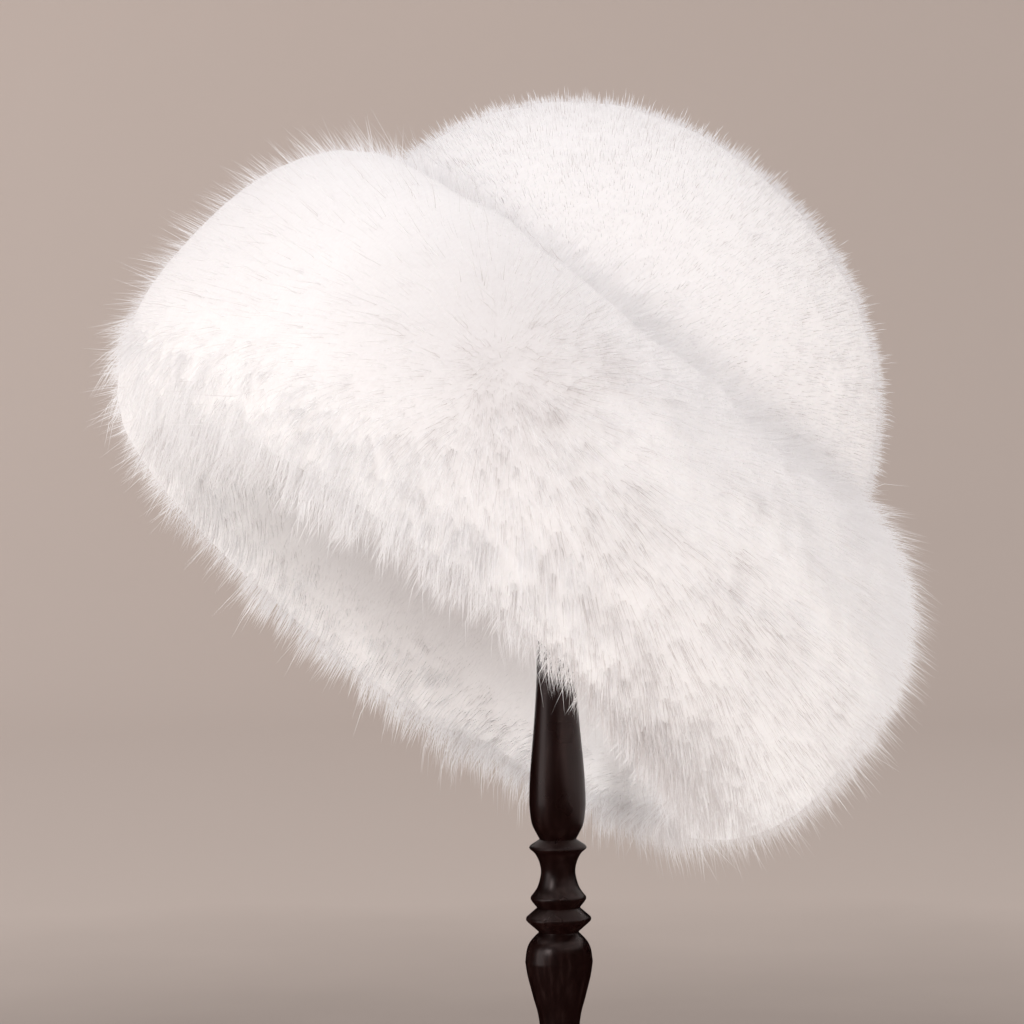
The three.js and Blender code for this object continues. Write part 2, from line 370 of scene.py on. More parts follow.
def finish_turned(piece, steps_of_edge=2):
    """Rounds the sharp turned edges a little, and smooths the rest."""
    bpy.ops.mesh.select_mode(type="EDGE")
    bpy.ops.mesh.select_all(action="DESELECT")
    bpy.ops.mesh.edges_select_sharp(sharpness=math.radians(35))
    bpy.ops.mesh.bevel(offset=SOFTENED, segments=steps_of_edge)
    leave_edit()
    bpy.ops.object.shade_smooth_by_angle(angle=math.radians(40))


def foot_profile():
    socket = FOOT_TENON["radius"] + TENON_PLAY
    socket_floor = FOOT["thickness"] - FOOT_TENON["length"] - TENON_PLAY
    step_top = 2 * FOOT["round"] + FOOT["step"]
    rim = (FOOT["radius"] - FOOT["round"], FOOT["round"])
    start, end = np.array((FOOT["step_radius"], step_top)), np.array((FOOT["seat_radius"], FOOT["thickness"]))
    bend = np.array(((start[0] + end[0]) / 2, FOOT["thickness"] - FOOT["hollow"]))
    sweep = [tuple((1 - t) ** 2 * start + 2 * t * (1 - t) * bend + t**2 * end) for t in np.linspace(0, 1, 17)]
    return [(0, 0), *arc(rim, FOOT["round"], -90, 90, 14), (FOOT["step_radius"], 2 * FOOT["round"]), *sweep,
            (socket, FOOT["thickness"]), (socket, socket_floor), (0, socket_floor)]


def dome_profile():
    underside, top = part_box("stand_dome")[0].z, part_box("stand_dome")[1].z
    ball_height = top - DOME["ball"]
    edge_radius = DOME["radius"] - DOME["edge"]
    roll = math.asin(edge_radius / (DOME["ball"] - DOME["edge"]))
    roll_height = ball_height + math.cos(roll) * (DOME["ball"] - DOME["edge"])
    rolled = 90 - math.degrees(roll)
    socket = TOP_TENON["radius"] + TENON_PLAY
    socket_top = underside + TOP_TENON["length"] + TENON_PLAY
    return [(0, socket_top), (socket, socket_top), (socket, underside),
            *arc((edge_radius, underside + DOME["edge"]), DOME["edge"], -90, 0, 8),
            *arc((edge_radius, roll_height), DOME["edge"], 0, rolled, 6)[:-1],
            *arc((0, ball_height), DOME["ball"], rolled, 90, 20)[:-1], (0, top)]


foot = turn_on_lathe("foot", foot_profile(), WIDE_STEPS)
finish_turned(foot)
dress(foot, wood, "stained_wood", "stand_base")

dome = turn_on_lathe("dome", dome_profile(), WIDE_STEPS)
finish_turned(dome)
dress(dome, wood, "stained_wood", "stand_dome")

# %% [markdown]
# The post is the one part of the stand that the picture shows. From the foot up it has a long trumpet, a
# bead, a vase, a sharp ring, a fillet, a cove under a collar, and a long bulb that runs up into the hat.
# Each member is a few points of its profile, and a member of several points is a smooth curve.

# %% Post
POST_ROOT = 0.017
POST_NECK = 0.0065
POST_GAP = 0.0003
POST_STEPS = 64
POST_MEMBERS = {
    "trumpet": [(0.0116, 0.034), (0.0074, 0.048), (0.006, 0.066)],
    "bead": [(0.0086, 0.068), (0.0096, 0.071), (0.0086, 0.074), (0.0062, 0.076)],
    "vase": [(0.0059, 0.082), (0.0072, 0.0996), (0.0092, 0.108), (0.0111, 0.1155), (0.0119, 0.1206)],
    "shoulder": [(0.0113, 0.1250), (0.0099, 0.1280), (0.0069, 0.1312)],
    "ring, lower side": [(0.0105, 0.1344)],
    "ring, rim": [(0.0114, 0.1354), (0.0114, 0.1364)],
    "ring, upper side": [(0.0075, 0.1398)],
    "fillet": [(0.0096, 0.1425), (0.0097, 0.1437)],
    "cove": [(0.0074, 0.1470), (0.0061, 0.1518), (0.0065, 0.1555), (0.0080, 0.1588), (0.0098, 0.1605)],
    "collar": [(0.0101, 0.1611), (0.0097, 0.1618)],
    "collar, upper side": [(0.0064, 0.1640)],
    "bulb": [(0.0076, 0.1662), (0.0091, 0.1695), (0.0098, 0.1745), (0.0099, 0.1790), (0.0095, 0.1880),
             (0.0080, 0.2050), (0.0071, 0.218)],
    "neck": [(POST_NECK, 0.240)],
}


def post_profile():
    root = FOOT["thickness"] + POST_GAP
    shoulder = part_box("stand_dome")[0].z - POST_GAP
    low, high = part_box("stand_spindle")[0].z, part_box("stand_spindle")[1].z
    profile = [(0, low), (FOOT_TENON["radius"], low), (FOOT_TENON["radius"], root), (POST_ROOT, root)]
    for points in POST_MEMBERS.values():
        if len(points) == 1:
            profile.append(points[0])
        else:
            profile += smooth_line([profile[-1], *points], 5)[1:]
    return profile + [(POST_NECK, shoulder), (TOP_TENON["radius"], shoulder), (TOP_TENON["radius"], high), (0, high)]


post = turn_on_lathe("post", post_profile(), POST_STEPS)
finish_turned(post)
dress(post, wood, "stained_wood", "stand_spindle")

# %% [markdown]
# The hat leans down to the stand's right and a little back. It is easier to shape when it stands upright, so
# it gets a frame of its own, with the crown's middle at the origin and the axis through the crown's top. One
# matrix turns places in this frame into places in the room.

# %% The hat's own frame
LEAN_SIDE = math.radians(38.6)
LEAN_BACK = math.radians(15)
HAT_MIDDLE = Vector((0.010, 0.004, 0.3175))

hat_turn = Matrix.Rotation(LEAN_SIDE, 4, "Y") @ Matrix.Rotation(-LEAN_BACK, 4, "X")
hat_place = Matrix.Translation(HAT_MIDDLE) @ hat_turn
hat_axis = hat_turn.col[2].xyz
print("hat axis:", [round(x, 3) for x in hat_axis])

# %% [markdown]
# The crown is a dome of pelt with short fur. A sphere is a good start for it: it is cut at the crown's widest
# line, and its edge is drawn down to where the brim is sewn on. A Shrinkwrap modifier then fits it just under
# the tips of the fur, and Solidify gives it its thickness down to the lining. Between the hairs the skin
# isn't seen, but a dense underfur, so the material has fine streaks along its UV map, which runs from the
# crown's top to its edge.

# %% Crown pelt
CROWN_START = 0.097  # radius of the sphere, between the crown's lining and its fur
CROWN_EDGE = 0.016  # how far the sewn edge lies below the widest line
NAP_DEPTH = 0.0022  # from the tips of the short fur to the pelt
CROWN_WALL = 0.0145


def pelt_material(name, round_scale, deep, light, greyer=()):
    """Dense underfur in fine streaks down its UV map, with painted shade near some places: middle, reach and tone.
    """
    material, nodes, links, shader = new_material(name, 0.95)
    shader.inputs["Specular IOR Level"].default_value = 0.1
    place = nodes.new("ShaderNodeUVMap")
    mapping = nodes.new("ShaderNodeMapping")
    mapping.inputs["Scale"].default_value = (round_scale, round_scale * 0.12, 1)
    streaks = nodes.new("ShaderNodeTexNoise")
    streaks.inputs["Scale"].default_value = 1
    streaks.inputs["Detail"].default_value = 3
    links.new(place.outputs["UV"], mapping.inputs["Vector"])
    links.new(mapping.outputs["Vector"], streaks.inputs["Vector"])
    height = streaks.outputs["Fac"]
    color = add_ramp(nodes, links, height, [(0.3, deep), (0.7, light)])
    links.new(color, shader.inputs["Base Color"])
    add_bump(nodes, links, shader, height, 0.4, 0.0005)
    here = nodes.new("ShaderNodeTexCoord")
    for middle, reach, grey in greyer:
        away = nodes.new("ShaderNodeVectorMath")
        away.operation = "DISTANCE"
        links.new(here.outputs["Object"], away.inputs[0])
        away.inputs[1].default_value = middle
        share = nodes.new("ShaderNodeMath")
        share.operation = "DIVIDE"
        links.new(away.outputs["Value"], share.inputs[0])
        share.inputs[1].default_value = reach
        tone = add_ramp(nodes, links, share.outputs["Value"], [(0.1, grey), (1.0, (1.0, 1.0, 1.0))])
        toned = nodes.new("ShaderNodeMix")
        toned.data_type = "RGBA"
        toned.blend_type = "MULTIPLY"
        toned.inputs["Factor"].default_value = 1.0
        links.new(color, toned.inputs["A"])
        links.new(tone, toned.inputs["B"])
        color = toned.outputs["Result"]
        links.new(color, shader.inputs["Base Color"])
    return material


crown_pelt = add_primitive(bpy.ops.mesh.primitive_uv_sphere_add, "crown_pelt", segments=120, ring_count=60,
                           radius=CROWN_START, location=HAT_MIDDLE, rotation=hat_turn.to_euler())
bpy.ops.mesh.bisect(plane_co=HAT_MIDDLE, plane_no=hat_axis, clear_inner=True)
bpy.ops.mesh.extrude_region_move(TRANSFORM_OT_translate={"value": -CROWN_EDGE * hat_axis})
leave_edit()
modify(crown_pelt, "SHRINKWRAP", target=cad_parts["crown"], wrap_method="PROJECT",
       use_positive_direction=True, offset=NAP_DEPTH)
modify(crown_pelt, "SOLIDIFY", thickness=CROWN_WALL - NAP_DEPTH, offset=-1)
bpy.ops.object.shade_smooth_by_angle(angle=math.radians(50))
crown_under = pelt_material("short underfur", 700, (0.95, 0.943, 0.943), (0.98, 0.977, 0.977))
print("crown pelt:", [round(side, 4) for side in crown_pelt.dimensions])

# %% [markdown]
# The brim is one thick ring of pelt with fur on all sides. Its pelt starts as a torus round the hat's axis
# and is fitted inside the brim's outer form in the same way, a fur's depth below the tips. On the real hat
# the brim presses against the crown, with no groove between them. So the pelt is drawn in and raised there,
# by moving some vertices and easing those around them, as with proportional editing by hand. The far side
# of the hem, where much hangs down, is drawn down in the same way. The underfur is painted greyer where the
# hair parts in the middle of the whorl, and deep in the hollow: painted shade, where one looks down between
# the hairs and into the hollow. So its material takes those two places.

# %% Brim pelt
BRIM_START = {"reach": 0.118, "height": -0.048, "thickness": 0.017}
FUR_DEPTH = 0.0050
CREST_CLOSE = 0.935  # how it is drawn in towards the crown
CREST_LIFT = 0.003  # how much higher it is towards the crown, on the near and far sides
CREST_FILL = 0.010  # how much higher it is still right against the crown
HEM_DROP = 0.004  # how much lower it hangs at the far hem
LOW_LIFT = 0.004  # how much higher it is at the lowered end, where the fur is short
INNER_RISE = 0.0025  # how much nearer the tips the pelt is inside, where the fur is short

brim_pelt = add_primitive(bpy.ops.mesh.primitive_torus_add, "brim_pelt", major_segments=144, minor_segments=48,
                          major_radius=BRIM_START["reach"], minor_radius=BRIM_START["thickness"],
                          location=HAT_MIDDLE + BRIM_START["height"] * hat_axis, rotation=hat_turn.to_euler())
leave_edit()
modify(brim_pelt, "SHRINKWRAP", target=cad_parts["brim"], wrap_method="PROJECT",
       use_positive_direction=True, offset=FUR_DEPTH)


def ease(piece, chosen, spread, operator, **options):
    """Moves or scales the chosen vertices of a piece, and those within a spread of them less and less."""
    bpy.ops.object.mode_set(mode="EDIT")
    bpy.ops.mesh.select_all(action="DESELECT")
    bpy.ops.object.mode_set(mode="OBJECT")
    for vertex in piece.data.vertices:
        vertex.select = chosen(hat_place.inverted() @ vertex.co)
    print("easing", sum(vertex.select for vertex in piece.data.vertices), "vertices of", piece.name)
    bpy.ops.object.mode_set(mode="EDIT")
    operator(use_proportional_edit=True, proportional_edit_falloff="SMOOTH", proportional_size=spread, **options)
    bpy.ops.object.mode_set(mode="OBJECT")


def by_the_crown(place):
    return place.z > -0.016 and place.xy.length < 0.112


ease(brim_pelt, by_the_crown, 0.012, bpy.ops.transform.resize, value=(CREST_CLOSE, CREST_CLOSE, 1),
     orient_matrix=hat_turn.to_3x3(), orient_matrix_type="GLOBAL", center_override=HAT_MIDDLE)
ease(brim_pelt, lambda place: by_the_crown(place) and abs(place.y) > 0.04, 0.036, bpy.ops.transform.translate,
     value=CREST_LIFT * hat_axis)
for side in (0.060, 0.080, 0.092):
    ease(brim_pelt, lambda place: place.z > -0.010 and place.xy.length < 0.104
         and abs(place.y) > side and place.x < 0.030, 0.014, bpy.ops.transform.translate, value=CREST_FILL / 3 * hat_axis)
ease(brim_pelt, lambda place: place.z < -0.096 and place.y > 0, 0.03, bpy.ops.transform.translate,
     value=-HEM_DROP * hat_axis)
ease(brim_pelt, lambda place: place.z < -0.100 and place.x > 0.05, 0.03, bpy.ops.transform.translate,
     value=LOW_LIFT * hat_axis)
ease(brim_pelt, lambda place: -0.095 < place.z < -0.02 and place.xy.length < 0.110, 0.006,
     bpy.ops.transform.shrink_fatten, value=INNER_RISE)
modify(brim_pelt, "SMOOTH", factor=0.5, iterations=4)
bpy.ops.object.shade_smooth()
PAINTED_SHADE_ON_SKIN = [((-0.022, -0.118, 0.335), 0.060, (0.84, 0.83, 0.83)),  # painted shade where the brim's hair spreads from
               ((-0.025, 0.065, 0.258), 0.095, (0.76, 0.73, 0.72))]  # painted shade deep inside, under the crown
brim_under = pelt_material("long underfur", 900, (0.95, 0.943, 0.943), (0.98, 0.977, 0.977), PAINTED_SHADE_ON_SKIN)
print("brim pelt:", [round(side, 4) for side in brim_pelt.dimensions])

# %% [markdown]
# Fur is thousands of single hairs. Hair curves can't be kept in a plain mesh, so each hair is a closed sliver
# of six triangles: a point at the root, a ring of three corners where it bends, and a point at the tip.
# All the hairs of a piece are one mesh made from arrays, which is much faster than adding them one by one.
# Its faces are flat shaded: smoothed normals on so thin a sliver turn half of it towards the dark. The tips
# are scattered over the hat's outer form, and each hair is drawn from its tip back into the pelt, so the fur
# ends just where the form does. Random numbers are seeded, to come out the same each time.

# %% Hairs as one mesh
rng = np.random.default_rng(7)


def unit(vectors):
    return vectors / np.linalg.norm(vectors, axis=-1, keepdims=True)


def strand_corners(paths, widths):
    """The corners of every hair, from its path of points and its width: root, rings of three, and tip."""
    count = len(paths)
    along = unit(paths[:, 2:] - paths[:, :-2])
    side = unit(np.cross(along, unit(rng.normal(size=(count, 1, 3)))))
    other = np.cross(along, side)
    rings = []
    for corner in range(3):
        angle = corner * 2 * math.pi / 3
        rings.append(paths[:, 1:-1] + widths[:, None, None] / 2 * (math.cos(angle) * side + math.sin(angle) * other))
    rings = np.stack(rings, axis=2).reshape(count, -1, 3)
    return np.concatenate([paths[:, :1], rings, paths[:, -1:]], axis=1)


def strand_faces(rings):
    """The triangles of one hair with this many rings, as numbers of its corners."""
    tip = 1 + 3 * rings
    faces = []
    for k in range(3):
        following = (k + 1) % 3
        faces.append((0, 1 + following, 1 + k))
        for ring in range(rings - 1):
            low, high = 1 + 3 * ring, 4 + 3 * ring
            faces.append((low + k, low + following, high + following))
            faces.append((low + k, high + following, high + k))
        faces.append((tip, tip - 3 + k, tip - 3 + following))
    return np.array(faces)


def strand_map(rings):
    """Where the corners of those triangles lie in the hair's own cell of its UV map, root down and tip up."""
    levels = np.linspace(0, 1, rings + 2)
    cells = []
    for k in range(3):
        left, right, middle = (k + 0.08) / 3, (k + 0.92) / 3, (k + 0.5) / 3
        cells.append([(middle, 0), (right, levels[1]), (left, levels[1])])
        for ring in range(rings - 1):
            low, high = levels[ring + 1], levels[ring + 2]
            cells.append([(left, low), (right, low), (right, high)])
            cells.append([(left, low), (right, high), (left, high)])
        cells.append([(middle, 1), (left, levels[-2]), (right, levels[-2])])
    return np.array(cells)


def add_floats(mesh, name, values):
    mesh.attributes.new(name, "FLOAT", "POINT").data.foreach_set("value", values.astype(np.float32).ravel())


def make_fur(name, paths, widths, shades):
    """One mesh of hairs. Its points know how far they are along the hair, and the hair's shade: its own tone, with
    painted shade and painted light on some of the brim's hairs.
    """
    count, rings = len(paths), paths.shape[1] - 2
    corners = strand_corners(paths, widths)
    faces = strand_faces(rings)
    all_faces = (faces[None] + corners.shape[1] * np.arange(count)[:, None, None]).reshape(-1, 3)
    mesh = bpy.data.meshes.new(name)
    mesh.vertices.add(count * corners.shape[1])
    mesh.vertices.foreach_set("co", corners.astype(np.float32).ravel())
    mesh.loops.add(all_faces.size)
    mesh.loops.foreach_set("vertex_index", all_faces.astype(np.int32).ravel())
    mesh.polygons.add(len(all_faces))
    mesh.polygons.foreach_set("loop_start", np.arange(0, all_faces.size, 3, dtype=np.int32))
    mesh.update(calc_edges=True)
    mesh.shade_flat()
    levels = np.concatenate([[0], np.repeat(np.linspace(0, 1, rings + 2)[1:-1], 3), [1]])
    add_floats(mesh, "along", np.tile(levels, count))
    add_floats(mesh, "shade", np.repeat(shades, corners.shape[1]))
    row = math.ceil(math.sqrt(count))
    cell = np.stack([np.arange(count) % row, np.arange(count) // row], axis=1)
    places = (strand_map(rings)[None] * 0.9 + 0.05 + cell[:, None, None]) / row
    mesh.uv_layers.new(name="OFBake").data.foreach_set("uv", places.astype(np.float32).ravel())
    piece = bpy.data.objects.new(name, mesh)
    bpy.context.scene.collection.objects.link(piece)
    return piece


# %% [markdown]
# The outer forms come from the frame. The part of the brim that lies against the crown has no fur of its own
# to show, and neither has the crown's lining or the part of the crown under the brim.

# %% Scattering tips over the outer forms


def triangles_of(node):
    """The corners of a solid's triangles."""
    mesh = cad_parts[node].data
    mesh.calc_loop_triangles()
    places = np.empty(len(mesh.vertices) * 3, np.float32)
    mesh.vertices.foreach_get("co", places)
    corners = np.empty(len(mesh.loop_triangles) * 3, np.int32)
    mesh.loop_triangles.foreach_get("vertices", corners)
    return places.reshape(-1, 3)[corners].reshape(-1, 3, 3).astype(float)


def corner_normals(triangles):
    """A smooth normal at each corner, from all the triangles that meet there."""
    faces = np.cross(triangles[:, 1] - triangles[:, 0], triangles[:, 2] - triangles[:, 0])
    _, shared = np.unique(triangles.reshape(-1, 3).round(5), axis=0, return_inverse=True)
    shared = shared.ravel()
    sums = np.zeros((shared.max() + 1, 3))
    np.add.at(sums, shared, np.repeat(faces, 3, axis=0))
    return unit(sums)[shared].reshape(-1, 3, 3)


def scatter(triangles, count, weights=1.0):
    """Random places on the triangles, as many on each as its area times its weight asks for."""
    normals = corner_normals(triangles)
    areas = np.linalg.norm(np.cross(triangles[:, 1] - triangles[:, 0], triangles[:, 2] - triangles[:, 0]), axis=1)
    areas = areas * weights
    chosen = rng.choice(len(triangles), count, p=areas / areas.sum())
    u, v = rng.random((2, count))
    u, v = np.where(u + v > 1, [1 - u, 1 - v], [u, v])
    shares = np.stack([1 - u - v, u, v], axis=1)[:, :, None]
    return (triangles[chosen] * shares).sum(axis=1), unit((normals[chosen] * shares).sum(axis=1))


def spread_out(places, normals, spacing, rounds=2):
    """Moves places that lie too close together apart along the surface, a few rounds over, so they spread more
    evenly.
    """
    for _ in range(rounds):
        tree = KDTree(len(places))
        for number, place in enumerate(places.tolist()):
            tree.insert(place, number)
        tree.balance()
        nearest = np.array([tree.find_n(place, 2)[1][1] for place in places.tolist()])
        apart = places - places[nearest]
        apart -= np.sum(apart * normals, axis=1, keepdims=True) * normals
        gaps = np.linalg.norm(apart, axis=1, keepdims=True)
        places = places + apart / np.maximum(gaps, 1e-6) * np.clip(spacing - gaps, 0, None) / 2
    return places


def distance_to(node, places):
    """How far each place lies from a solid."""
    triangles = triangles_of(node)
    numbers = np.arange(len(triangles) * 3).reshape(-1, 3)
    tree = BVHTree.FromPolygons(triangles.reshape(-1, 3).tolist(), numbers.tolist())
    return np.array([tree.find_nearest(place)[3] for place in places.tolist()])


def in_hat(places):
    """Places in the hat's own frame."""
    turn = np.array(hat_turn.to_3x3())
    return (places - np.array(HAT_MIDDLE)) @ turn


brim_form = triangles_of("brim")
brim_form = brim_form[distance_to("crown", brim_form.mean(axis=1)) > 0.0009]
crown_form = triangles_of("crown")
crown_middles = in_hat(crown_form.mean(axis=1))
crown_faces = np.cross(crown_form[:, 1] - crown_form[:, 0], crown_form[:, 2] - crown_form[:, 0])
crown_outside = np.sum(crown_faces * (crown_form.mean(axis=1) - np.array(HAT_MIDDLE)), axis=1) > 0
crown_form = crown_form[crown_outside & (crown_middles[:, 2] > -0.010)]
print("furred triangles:", len(brim_form), "of the brim,", len(crown_form), "of the crown")

# %% [markdown]
# White fur isn't one white. It is clean white at the tips and a warmer, greyer tone near the skin, and no two
# hairs have quite the same shade. Light also passes through the thin hairs, so part of the shader lets it in
# from behind, which keeps the shadows between the locks soft.

# %% Fur material


def fur_material(name, deep, middle, tip):
    material, nodes, links, shader = new_material(name, 0.8)
    shader.inputs["Specular IOR Level"].default_value = 0.2
    along = nodes.new("ShaderNodeAttribute")
    along.attribute_name = "along"
    shade = nodes.new("ShaderNodeAttribute")
    shade.attribute_name = "shade"
    color = add_ramp(nodes, links, along.outputs["Fac"], [(0.0, deep), (0.5, middle), (0.95, tip)])
    # The shade attribute holds each hair's own tone, and also painted shade and painted light set on the brim's fur.
    tones = add_ramp(nodes, links, shade.outputs["Fac"], [(0.0, (0.78, 0.75, 0.74)), (0.4, (0.98, 0.978, 0.98)),
                                                          (1.0, (1.0, 1.0, 1.0))])
    mixed = nodes.new("ShaderNodeMix")
    mixed.data_type = "RGBA"
    mixed.blend_type = "MULTIPLY"
    mixed.inputs["Factor"].default_value = 1.0
    links.new(color, mixed.inputs["A"])
    links.new(tones, mixed.inputs["B"])
    links.new(mixed.outputs["Result"], shader.inputs["Base Color"])
    glow = nodes.new("ShaderNodeBsdfTranslucent")
    links.new(mixed.outputs["Result"], glow.inputs["Color"])
    both = nodes.new("ShaderNodeMixShader")
    both.inputs["Fac"].default_value = 0.12
    links.new(shader.outputs["BSDF"], both.inputs[1])
    links.new(glow.outputs["BSDF"], both.inputs[2])
    links.new(both.outputs["Shader"], nodes["Material Output"].inputs["Surface"])
    return material


long_fur = fur_material("long fur", (0.972, 0.972, 0.977), (0.986, 0.986, 0.990), (0.994, 0.994, 0.998))
# The short fur is made a little greyer than the long: painted shade, which tones down the crown where the lamps
# light it more.
short_fur = fur_material("short fur", (0.940, 0.940, 0.946), (0.957, 0.957, 0.962), (0.970, 0.970, 0.974))
print("furs:", long_fur.name, "and", short_fur.name)

# %% [markdown]
# Hair stands out from the pelt and droops a little under its own weight. Neighbouring hairs cling together at
# their tips, in small locks inside larger ones. Each lock leans its own way and ends a little higher or lower
# than the next, which breaks up the surface as in real fur. Every hair belongs to the lock whose middle is
# nearest, which a KD tree finds quickly.

# %% How hair lies
DOWN = np.array((0, 0, -1.0))


def locks(places, spacing_area):
    """Chooses some places as the middles of locks, and gives every place the number of its nearest lock."""
    count = max(int(len(places) * spacing_area), 1)
    chosen = rng.choice(len(places), count, replace=False)
    tree = KDTree(count)
    for number, place in enumerate(places[chosen].tolist()):
        tree.insert(place, number)
    tree.balance()
    nearest = np.array([tree.find(place)[1] for place in places.tolist()])
    return chosen, nearest


def comb(places, stand, normals, lengths, droop, lean, pull, rise, bend_at, lock_share, lock_height):
    """The path of each hair: root, bend and tip. The tip is at its place, moved by its lock and by its rise."""
    count = len(places)
    small, own = locks(places, lock_share)
    large, wide = locks(places, lock_share / 12)
    lock_lean = (rng.normal(size=(len(small), 3)) * lean)[own] + (rng.normal(size=(len(large), 3)) * lean)[wide]
    stray = rng.normal(size=(count, 3)) * lean * 0.8
    tip_way = unit(stand + droop * DOWN + lock_lean + stray)
    root_way = unit(normals + stand + 0.3 * lock_lean)
    lock_rise = rng.normal(size=len(small))[own] + rng.normal(size=len(large))[wide]
    tips = places + (rise + lock_height * lock_rise)[:, None] * unit(normals + stand)
    pulls = (pull * rng.uniform(0.4, 1.0, count))[:, None]
    tips += pulls * (places[small[own]] - places) + 0.25 * pulls * (places[large[wide]] - places)
    bends = tips - (lengths * (1 - bend_at))[:, None] * tip_way
    roots = bends - (lengths * bend_at)[:, None] * root_way
    shades = np.clip(rng.normal(0.5, 0.22, count) + (rng.normal(size=len(small)) * 0.12)[own], 0, 1)
    return np.stack([roots, bends, tips], axis=1), shades


# %% [markdown]
# The brim's fur is long: two to three centimetres outside, and shorter inside. It spreads from a whorl on the
# near side, lies over towards the crown at the top, and hangs in tufts past the hem. The table of hang lengths
# says how long those tufts are from the raised end to the lowered one. The fur is made in four pieces, one for
# each quarter round the hat, because a single mesh would be too heavy.

# %% Brim fur
WHORL_MIDDLE = np.array((-0.018, 0.0, 0.332))  # the brim's hair spreads from here
WHORL_DEPTH = 0.18  # how far in the whorl's middle lies, as a share of the depth of the hat
WHORL_SHARE = 0.8
WHORL_SHADES = ((0.040, 0.35), (0.016, 0.60))  # painted shade round the whorl's middle: how far it goes, and how dark it is
CREST_WIDTH = 0.031  # how near to the crown the brim's hair starts to lie over towards it
CREST_RISE = 0.016
CREST_LIE = 0.008
CROWN_REACH = np.array((0.106, 0.102, 0.1015))


def standing(places, normals):
    """Which way the brim's hair stands: out from its skin, and away from the middle of the whorl."""
    from_whorl = (places - WHORL_MIDDLE) * (1, WHORL_DEPTH, 1)
    local, local_normals = in_hat(places), normals @ np.array(hat_turn.to_3x3())
    facing_in = -np.sum(unit(local[:, :2]) * local_normals[:, :2], axis=1, keepdims=True)
    away = unit(unit(from_whorl) - np.clip(facing_in * 2, 0, 1.2) * np.array(hat_axis))
    away -= np.minimum(np.sum(away * normals, axis=1, keepdims=True), 0) * normals
    share = WHORL_SHARE * (1 - 0.6 * np.clip(facing_in * 2, 0, 1))
    return unit((1 - share) * normals + share * away)


def lie_on_crown(places):
    """Moves tips that are near the crown up and in towards its side, and keeps them outside it."""
    local = in_hat(places)
    gap = distance_to("crown", places)
    near = np.clip(1 - gap / CREST_WIDTH, 0, 1) * (local[:, 2] > -0.060)
    near = near * near * (3 - 2 * near) * np.clip(np.abs(local[:, 1]) / 0.09, 0, 1)
    filled = np.clip(1 - gap / 0.020, 0, 1) * (local[:, 2] > -0.030)
    filled = filled * filled * (3 - 2 * filled) * np.clip((np.abs(local[:, 1]) - 0.040) / 0.050, 0, 1)
    filled *= np.clip((0.060 - local[:, 0]) / 0.050, 0, 1)
    share = near * np.clip(rng.exponential(0.35, len(places)), 0, 1.5)
    local[:, 2] += share * CREST_RISE + 0.5 * filled * CREST_FILL
    reach = np.linalg.norm(local[:, :2], axis=1)
    climb = np.clip(local[:, 2] / CROWN_REACH[2], 0, 0.95)
    side = CROWN_REACH[:2].mean() * np.sqrt(1 - climb**2) + rng.uniform(0.001, 0.004, len(places))
    wanted = np.where(near > 0, np.maximum(reach - share * CREST_LIE, side), reach)
    local[:, :2] *= (wanted / reach)[:, None]
    return local @ np.array(hat_turn.to_3x3()).T + np.array(HAT_MIDDLE), near


BRIM_HAIRS = 112000
FULLER = 0.003  # how much further out the fur stands on the lowered side
TRIMMED = 0.0043  # how much less on the raised side
CORNER_FILL = 0.011  # how far the fur inside stands out where the hem turns at the raised end
HEM_FALL = 0.011  # how far the longest hairs hang past the hem
HEM_HANG = [(-0.13, -0.09, -0.04, 0.01, 0.040, 0.06, 0.08, 0.12),  # places along the near hem
            (0.4, 0.9, 1.0, 0.6, 0.0, 0.45, 0.8, 0.2)]  # and how far its hairs hang there
DEEP_SHADE = 0.8  # how much painted shade darkens the fur deep inside
LOW_SHADE = 0.42  # how much painted shade darkens it low down on the lowered side
QUARTERS = ("lowered", "far", "raised", "near")

middles = in_hat(brim_form.mean(axis=1))
faces = np.cross(brim_form[:, 1] - brim_form[:, 0], brim_form[:, 2] - brim_form[:, 0]) @ np.array(hat_turn.to_3x3())
facing_in = (faces[:, 0] * middles[:, 0] + faces[:, 1] * middles[:, 1]) < 0
throat = facing_in & (middles[:, 2] < -0.060) & (middles[:, 1] < 0)
brim_crest = ~facing_in & (middles[:, 2] > -0.025)
near_hem = middles[:, 2] < -0.088
weights = np.where(throat, 0.8, 1.0) * np.where(brim_crest, 2.0, 1.0) * np.where(near_hem, 1.4, 1.0)
places, normals = scatter(brim_form, BRIM_HAIRS, weights)
places = spread_out(places, normals, 0.0011)
local, local_normals = in_hat(places), normals @ np.array(hat_turn.to_3x3())
outwards = local_normals[:, 0] * local[:, 0] + local_normals[:, 1] * local[:, 1]
inner = (outwards < 0) & (np.hypot(local[:, 0], local[:, 1]) < 0.112)
lengths = np.where(inner, rng.uniform(0.013, 0.018, BRIM_HAIRS), rng.uniform(0.022, 0.030, BRIM_HAIRS))
hem = np.clip((-0.075 - local[:, 2]) / 0.03, 0, 1)
at_ends = np.clip((np.abs(local[:, 0] - 0.01) - 0.06) / 0.06, 0, 1)
pull = 0.08 + hem * np.where(local[:, 1] > 0, 0.14, 0.30)
rise = np.clip(rng.normal(0, 0.0012, BRIM_HAIRS), -0.003, 0.003)
longer = (rng.random(BRIM_HAIRS) < 0.4) * ~inner
rise += np.clip(rng.exponential(0.0026, BRIM_HAIRS), 0, 0.010) * longer
rise *= np.where(inner, 0.35 + 0.65 * hem, 1.0)
rise += FULLER * np.clip((local[:, 0] - 0.09) / 0.05, 0, 1) * np.clip((local[:, 2] + 0.06) / 0.04, -1.2, 1)
